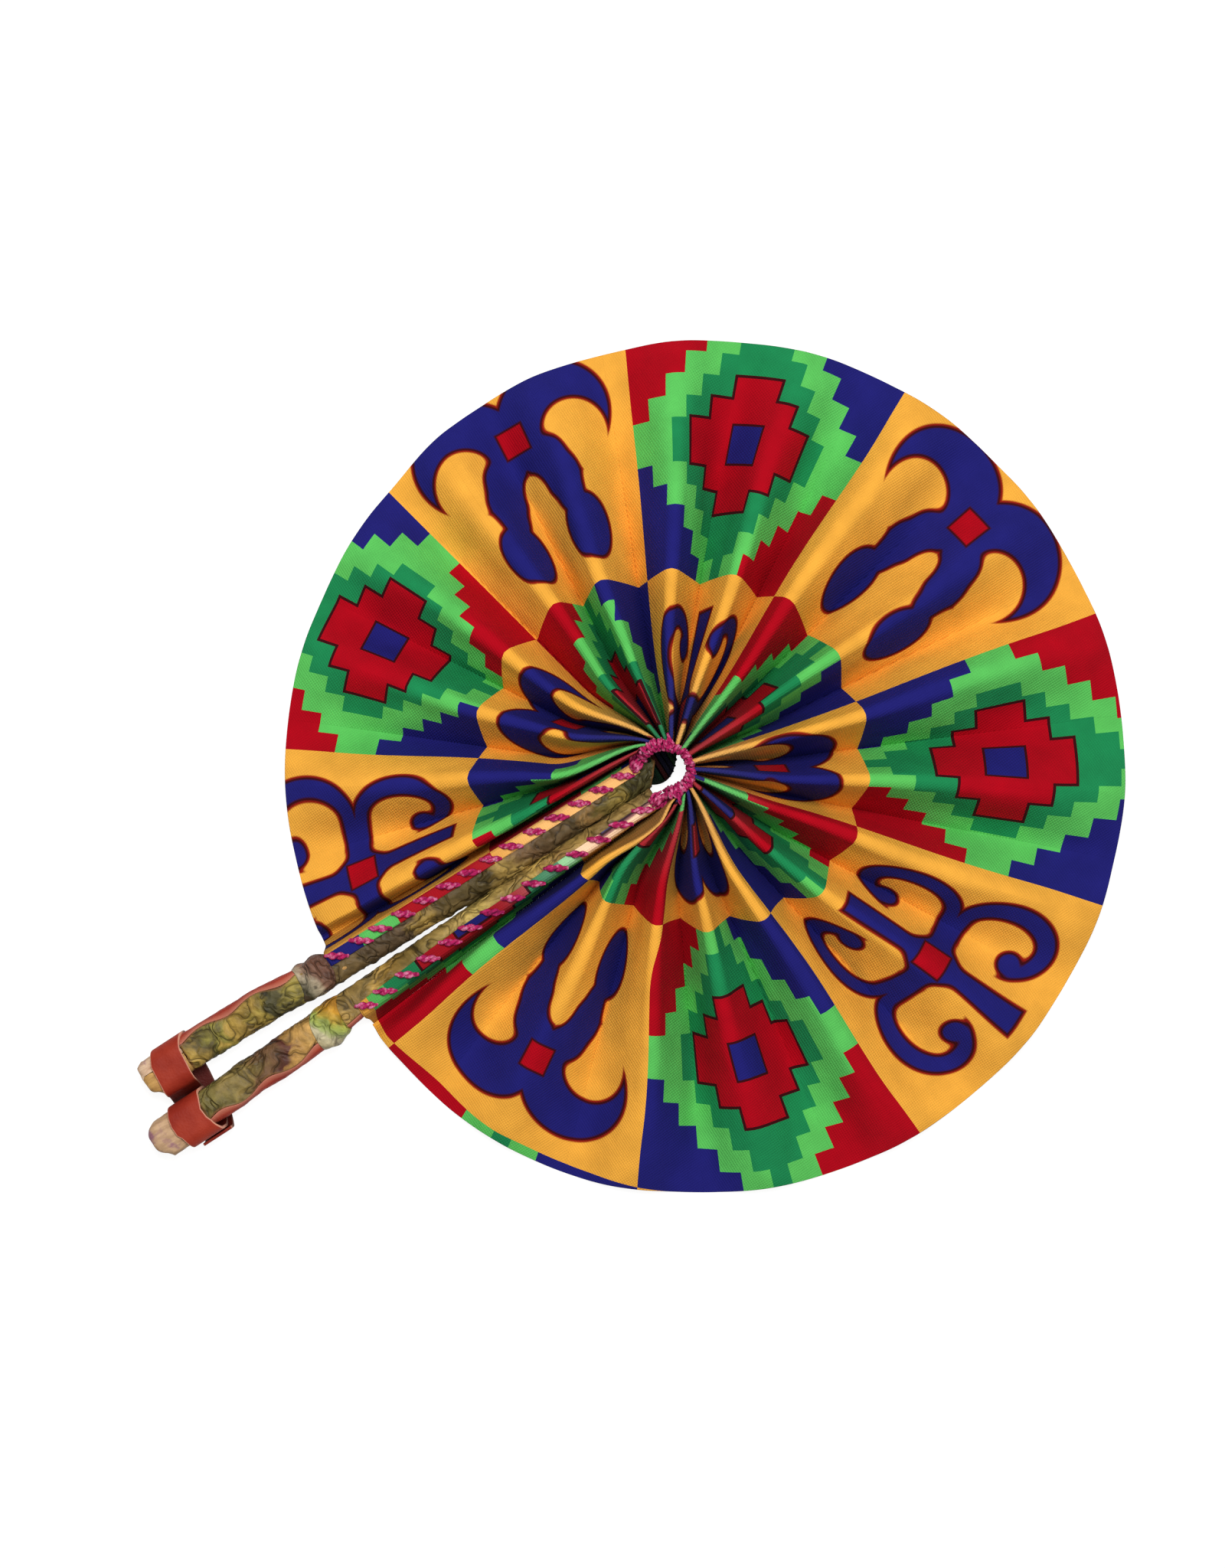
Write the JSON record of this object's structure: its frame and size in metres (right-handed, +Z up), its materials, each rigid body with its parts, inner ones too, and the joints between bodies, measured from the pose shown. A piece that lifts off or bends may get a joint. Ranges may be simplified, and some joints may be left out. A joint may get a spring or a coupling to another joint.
{
  "type": "fabric hand fan",
  "caption": "Round folding hand fan of pleated printed cloth, laced at the hub and sewn to leather-covered sticks that a leather keeper holds together as its handle.",
  "frame": {"origin": "middle of the open fan's footprint, on the surface it lies on", "axes": "+Z up out of the open leaf; +Y along the handle, from the stick ends towards the leaf"},
  "size_m": [0.328, 0.424, 0.0325],
  "materials": {
    "printed_cloth": "matte woven print",
    "marbled_leather": "satin",
    "red_leather": "matte",
    "yarn": "fuzzy twisted yarn",
    "pale_wood": "bare"
  },
  "bodies": {
    "handle_a": {"stick_a": "pale_wood", "stick_a_splint": "pale_wood", "face_leather_a": "marbled_leather", "back_leather_a": "red_leather", "rim_wrap_a": "marbled_leather", "end_panel_a": "printed_cloth", "whip_stitch_a": "yarn", "hub_lacing": "yarn"},
    "pleat_01": {"pleat_01": "printed_cloth"},
    "pleat_02": {"pleat_02": "printed_cloth"},
    "pleat_03": {"pleat_03": "printed_cloth"},
    "pleat_04": {"pleat_04": "printed_cloth"},
    "pleat_05": {"pleat_05": "printed_cloth"},
    "pleat_06": {"pleat_06": "printed_cloth"},
    "pleat_07": {"pleat_07": "printed_cloth", "lacing_knot": "yarn"},
    "pleat_08": {"pleat_08": "printed_cloth"},
    "pleat_09": {"pleat_09": "printed_cloth"},
    "pleat_10": {"pleat_10": "printed_cloth"},
    "pleat_11": {"pleat_11": "printed_cloth"},
    "pleat_12": {"pleat_12": "printed_cloth"},
    "pleat_13": {"pleat_13": "printed_cloth"},
    "pleat_14": {"pleat_14": "printed_cloth"},
    "pleat_15": {"pleat_15": "printed_cloth"},
    "pleat_16": {"pleat_16": "printed_cloth"},
    "pleat_17": {"pleat_17": "printed_cloth", "lacing_tail": "yarn"},
    "pleat_18": {"pleat_18": "printed_cloth"},
    "pleat_19": {"pleat_19": "printed_cloth"},
    "handle_b": {"stick_b": "pale_wood", "face_leather_b": "marbled_leather", "back_leather_b": "red_leather", "rim_wrap_b": "marbled_leather", "end_panel_b": "printed_cloth", "whip_stitch_b": "yarn", "keeper_band": "red_leather"},
    "keeper": {"keeper_loop": "red_leather"}
  },
  "joints": [
    {"name": "fold_01", "type": "hinge", "parent": "handle_a", "child": "pleat_01", "pos_m": [-0.0132, 0.03032, 0.012], "axis": [0, 0, 1], "range_deg": [0, 5.05], "deforming": ["pleat_01", "pleat_02", "pleat_03", "pleat_04", "pleat_05", "pleat_06", "pleat_07", "pleat_08", "pleat_09", "pleat_10", "pleat_11", "pleat_12", "pleat_13", "pleat_14", "pleat_15", "pleat_16", "pleat_17", "pleat_18", "pleat_19", "end_panel_a", "end_panel_b", "hub_lacing", "lacing_knot", "lacing_tail", "keeper_loop"]},
    {"name": "fold_02", "type": "hinge", "parent": "pleat_01", "child": "pleat_02", "pos_m": [-0.01446, 0.03161, 0.012], "axis": [0, 0, 1], "range_deg": [0, 19.24], "deforming": ["pleat_01", "pleat_02", "pleat_03", "pleat_04", "pleat_05", "pleat_06", "pleat_07", "pleat_08", "pleat_09", "pleat_10", "pleat_11", "pleat_12", "pleat_13", "pleat_14", "pleat_15", "pleat_16", "pleat_17", "pleat_18", "pleat_19", "end_panel_a", "end_panel_b", "hub_lacing", "lacing_knot", "lacing_tail", "keeper_loop"]},
    {"name": "fold_03", "type": "hinge", "parent": "pleat_02", "child": "pleat_03", "pos_m": [-0.01529, 0.03311, 0.012], "axis": [0, 0, 1], "range_deg": [0, 19.24], "deforming": ["pleat_01", "pleat_02", "pleat_03", "pleat_04", "pleat_05", "pleat_06", "pleat_07", "pleat_08", "pleat_09", "pleat_10", "pleat_11", "pleat_12", "pleat_13", "pleat_14", "pleat_15", "pleat_16", "pleat_17", "pleat_18", "pleat_19", "end_panel_a", "end_panel_b", "hub_lacing", "lacing_knot", "lacing_tail", "keeper_loop"]},
    {"name": "fold_04", "type": "hinge", "parent": "pleat_03", "child": "pleat_04", "pos_m": [-0.01562, 0.03472, 0.012], "axis": [0, 0, 1], "range_deg": [0, 19.24], "deforming": ["pleat_01", "pleat_02", "pleat_03", "pleat_04", "pleat_05", "pleat_06", "pleat_07", "pleat_08", "pleat_09", "pleat_10", "pleat_11", "pleat_12", "pleat_13", "pleat_14", "pleat_15", "pleat_16", "pleat_17", "pleat_18", "pleat_19", "end_panel_a", "end_panel_b", "hub_lacing", "lacing_knot", "lacing_tail", "keeper_loop"]},
    {"name": "fold_05", "type": "hinge", "parent": "pleat_04", "child": "pleat_05", "pos_m": [-0.01546, 0.03635, 0.012], "axis": [0, 0, 1], "range_deg": [0, 19.24], "deforming": ["pleat_01", "pleat_02", "pleat_03", "pleat_04", "pleat_05", "pleat_06", "pleat_07", "pleat_08", "pleat_09", "pleat_10", "pleat_11", "pleat_12", "pleat_13", "pleat_14", "pleat_15", "pleat_16", "pleat_17", "pleat_18", "pleat_19", "end_panel_a", "end_panel_b", "hub_lacing", "lacing_knot", "lacing_tail", "keeper_loop"]},
    {"name": "fold_06", "type": "hinge", "parent": "pleat_05", "child": "pleat_06", "pos_m": [-0.0148, 0.03789, 0.012], "axis": [0, 0, 1], "range_deg": [0, 19.24], "deforming": ["pleat_01", "pleat_02", "pleat_03", "pleat_04", "pleat_05", "pleat_06", "pleat_07", "pleat_08", "pleat_09", "pleat_10", "pleat_11", "pleat_12", "pleat_13", "pleat_14", "pleat_15", "pleat_16", "pleat_17", "pleat_18", "pleat_19", "end_panel_a", "end_panel_b", "hub_lacing", "lacing_knot", "lacing_tail", "keeper_loop"]},
    {"name": "fold_07", "type": "hinge", "parent": "pleat_06", "child": "pleat_07", "pos_m": [-0.01368, 0.03926, 0.012], "axis": [0, 0, 1], "range_deg": [0, 19.24], "deforming": ["pleat_01", "pleat_02", "pleat_03", "pleat_04", "pleat_05", "pleat_06", "pleat_07", "pleat_08", "pleat_09", "pleat_10", "pleat_11", "pleat_12", "pleat_13", "pleat_14", "pleat_15", "pleat_16", "pleat_17", "pleat_18", "pleat_19", "end_panel_a", "end_panel_b", "hub_lacing", "lacing_knot", "lacing_tail", "keeper_loop"]},
    {"name": "fold_08", "type": "hinge", "parent": "pleat_07", "child": "pleat_08", "pos_m": [-0.01218, 0.04037, 0.012], "axis": [0, 0, 1], "range_deg": [0, 19.24], "deforming": ["pleat_01", "pleat_02", "pleat_03", "pleat_04", "pleat_05", "pleat_06", "pleat_07", "pleat_08", "pleat_09", "pleat_10", "pleat_11", "pleat_12", "pleat_13", "pleat_14", "pleat_15", "pleat_16", "pleat_17", "pleat_18", "pleat_19", "end_panel_a", "end_panel_b", "hub_lacing", "lacing_knot", "lacing_tail", "keeper_loop"]},
    {"name": "fold_09", "type": "hinge", "parent": "pleat_08", "child": "pleat_09", "pos_m": [-0.01038, 0.04115, 0.012], "axis": [0, 0, 1], "range_deg": [0, 19.24], "deforming": ["pleat_01", "pleat_02", "pleat_03", "pleat_04", "pleat_05", "pleat_06", "pleat_07", "pleat_08", "pleat_09", "pleat_10", "pleat_11", "pleat_12", "pleat_13", "pleat_14", "pleat_15", "pleat_16", "pleat_17", "pleat_18", "pleat_19", "end_panel_a", "end_panel_b", "hub_lacing", "lacing_knot", "lacing_tail", "keeper_loop"]},
    {"name": "fold_10", "type": "hinge", "parent": "pleat_09", "child": "pleat_10", "pos_m": [-0.0084, 0.04155, 0.012], "axis": [0, 0, 1], "range_deg": [0, 19.24], "deforming": ["pleat_01", "pleat_02", "pleat_03", "pleat_04", "pleat_05", "pleat_06", "pleat_07", "pleat_08", "pleat_09", "pleat_10", "pleat_11", "pleat_12", "pleat_13", "pleat_14", "pleat_15", "pleat_16", "pleat_17", "pleat_18", "pleat_19", "end_panel_a", "end_panel_b", "hub_lacing", "lacing_knot", "lacing_tail", "keeper_loop"]},
    {"name": "fold_11", "type": "hinge", "parent": "pleat_10", "child": "pleat_11", "pos_m": [-0.00636, 0.04155, 0.012], "axis": [0, 0, 1], "range_deg": [0, 19.24], "deforming": ["pleat_01", "pleat_02", "pleat_03", "pleat_04", "pleat_05", "pleat_06", "pleat_07", "pleat_08", "pleat_09", "pleat_10", "pleat_11", "pleat_12", "pleat_13", "pleat_14", "pleat_15", "pleat_16", "pleat_17", "pleat_18", "pleat_19", "end_panel_a", "end_panel_b", "hub_lacing", "lacing_knot", "lacing_tail", "keeper_loop"]},
    {"name": "fold_12", "type": "hinge", "parent": "pleat_11", "child": "pleat_12", "pos_m": [-0.00438, 0.04115, 0.012], "axis": [0, 0, 1], "range_deg": [0, 19.24], "deforming": ["pleat_01", "pleat_02", "pleat_03", "pleat_04", "pleat_05", "pleat_06", "pleat_07", "pleat_08", "pleat_09", "pleat_10", "pleat_11", "pleat_12", "pleat_13", "pleat_14", "pleat_15", "pleat_16", "pleat_17", "pleat_18", "pleat_19", "end_panel_a", "end_panel_b", "hub_lacing", "lacing_knot", "lacing_tail", "keeper_loop"]},
    {"name": "fold_13", "type": "hinge", "parent": "pleat_12", "child": "pleat_13", "pos_m": [-0.00259, 0.04037, 0.012], "axis": [0, 0, 1], "range_deg": [0, 19.24], "deforming": ["pleat_01", "pleat_02", "pleat_03", "pleat_04", "pleat_05", "pleat_06", "pleat_07", "pleat_08", "pleat_09", "pleat_10", "pleat_11", "pleat_12", "pleat_13", "pleat_14", "pleat_15", "pleat_16", "pleat_17", "pleat_18", "pleat_19", "end_panel_a", "end_panel_b", "hub_lacing", "lacing_knot", "lacing_tail", "keeper_loop"]},
    {"name": "fold_14", "type": "hinge", "parent": "pleat_13", "child": "pleat_14", "pos_m": [-0.00108, 0.03926, 0.012], "axis": [0, 0, 1], "range_deg": [0, 19.24], "deforming": ["pleat_01", "pleat_02", "pleat_03", "pleat_04", "pleat_05", "pleat_06", "pleat_07", "pleat_08", "pleat_09", "pleat_10", "pleat_11", "pleat_12", "pleat_13", "pleat_14", "pleat_15", "pleat_16", "pleat_17", "pleat_18", "pleat_19", "end_panel_a", "end_panel_b", "hub_lacing", "lacing_knot", "lacing_tail", "keeper_loop"]},
    {"name": "fold_15", "type": "hinge", "parent": "pleat_14", "child": "pleat_15", "pos_m": [0.00003, 0.03789, 0.012], "axis": [0, 0, 1], "range_deg": [0, 19.24], "deforming": ["pleat_01", "pleat_02", "pleat_03", "pleat_04", "pleat_05", "pleat_06", "pleat_07", "pleat_08", "pleat_09", "pleat_10", "pleat_11", "pleat_12", "pleat_13", "pleat_14", "pleat_15", "pleat_16", "pleat_17", "pleat_18", "pleat_19", "end_panel_a", "end_panel_b", "hub_lacing", "lacing_knot", "lacing_tail", "keeper_loop"]},
    {"name": "fold_16", "type": "hinge", "parent": "pleat_15", "child": "pleat_16", "pos_m": [0.00069, 0.03635, 0.012], "axis": [0, 0, 1], "range_deg": [0, 19.24], "deforming": ["pleat_01", "pleat_02", "pleat_03", "pleat_04", "pleat_05", "pleat_06", "pleat_07", "pleat_08", "pleat_09", "pleat_10", "pleat_11", "pleat_12", "pleat_13", "pleat_14", "pleat_15", "pleat_16", "pleat_17", "pleat_18", "pleat_19", "end_panel_a", "end_panel_b", "hub_lacing", "lacing_knot", "lacing_tail", "keeper_loop"]},
    {"name": "fold_17", "type": "hinge", "parent": "pleat_16", "child": "pleat_17", "pos_m": [0.00086, 0.03472, 0.012], "axis": [0, 0, 1], "range_deg": [0, 19.24], "deforming": ["pleat_01", "pleat_02", "pleat_03", "pleat_04", "pleat_05", "pleat_06", "pleat_07", "pleat_08", "pleat_09", "pleat_10", "pleat_11", "pleat_12", "pleat_13", "pleat_14", "pleat_15", "pleat_16", "pleat_17", "pleat_18", "pleat_19", "end_panel_a", "end_panel_b", "hub_lacing", "lacing_knot", "lacing_tail", "keeper_loop"]},
    {"name": "fold_18", "type": "hinge", "parent": "pleat_17", "child": "pleat_18", "pos_m": [0.00052, 0.03311, 0.012], "axis": [0, 0, 1], "range_deg": [0, 19.24], "deforming": ["pleat_01", "pleat_02", "pleat_03", "pleat_04", "pleat_05", "pleat_06", "pleat_07", "pleat_08", "pleat_09", "pleat_10", "pleat_11", "pleat_12", "pleat_13", "pleat_14", "pleat_15", "pleat_16", "pleat_17", "pleat_18", "pleat_19", "end_panel_a", "end_panel_b", "hub_lacing", "lacing_knot", "lacing_tail", "keeper_loop"]},
    {"name": "fold_19", "type": "hinge", "parent": "pleat_18", "child": "pleat_19", "pos_m": [-0.0003, 0.03161, 0.012], "axis": [0, 0, 1], "range_deg": [0, 19.24], "deforming": ["pleat_01", "pleat_02", "pleat_03", "pleat_04", "pleat_05", "pleat_06", "pleat_07", "pleat_08", "pleat_09", "pleat_10", "pleat_11", "pleat_12", "pleat_13", "pleat_14", "pleat_15", "pleat_16", "pleat_17", "pleat_18", "pleat_19", "end_panel_a", "end_panel_b", "hub_lacing", "lacing_knot", "lacing_tail", "keeper_loop"]},
    {"name": "fold_20", "type": "hinge", "parent": "pleat_19", "child": "handle_b", "pos_m": [-0.00156, 0.03032, 0.012], "axis": [0, 0, 1], "range_deg": [0, 5.85], "deforming": ["pleat_01", "pleat_02", "pleat_03", "pleat_04", "pleat_05", "pleat_06", "pleat_07", "pleat_08", "pleat_09", "pleat_10", "pleat_11", "pleat_12", "pleat_13", "pleat_14", "pleat_15", "pleat_16", "pleat_17", "pleat_18", "pleat_19", "end_panel_a", "end_panel_b", "hub_lacing", "lacing_knot", "lacing_tail", "keeper_loop"]},
    {"name": "keeper_slide", "type": "slide", "parent": "handle_b", "child": "keeper", "axis": [0, -1, 0], "range_m": [0, 0.024]}
  ],
  "couplings": [
    {"joint": "fold_02", "follows": "fold_01", "ratio": 3.8099},
    {"joint": "fold_03", "follows": "fold_01", "ratio": 3.8099},
    {"joint": "fold_04", "follows": "fold_01", "ratio": 3.8099},
    {"joint": "fold_05", "follows": "fold_01", "ratio": 3.8099},
    {"joint": "fold_06", "follows": "fold_01", "ratio": 3.8099},
    {"joint": "fold_07", "follows": "fold_01", "ratio": 3.8099},
    {"joint": "fold_08", "follows": "fold_01", "ratio": 3.8099},
    {"joint": "fold_09", "follows": "fold_01", "ratio": 3.8099},
    {"joint": "fold_10", "follows": "fold_01", "ratio": 3.8099},
    {"joint": "fold_11", "follows": "fold_01", "ratio": 3.8099},
    {"joint": "fold_12", "follows": "fold_01", "ratio": 3.8099},
    {"joint": "fold_13", "follows": "fold_01", "ratio": 3.8099},
    {"joint": "fold_14", "follows": "fold_01", "ratio": 3.8099},
    {"joint": "fold_15", "follows": "fold_01", "ratio": 3.8099},
    {"joint": "fold_16", "follows": "fold_01", "ratio": 3.8099},
    {"joint": "fold_17", "follows": "fold_01", "ratio": 3.8099},
    {"joint": "fold_18", "follows": "fold_01", "ratio": 3.8099},
    {"joint": "fold_19", "follows": "fold_01", "ratio": 3.8099},
    {"joint": "fold_20", "follows": "fold_01", "ratio": 1.1584}
  ]
}
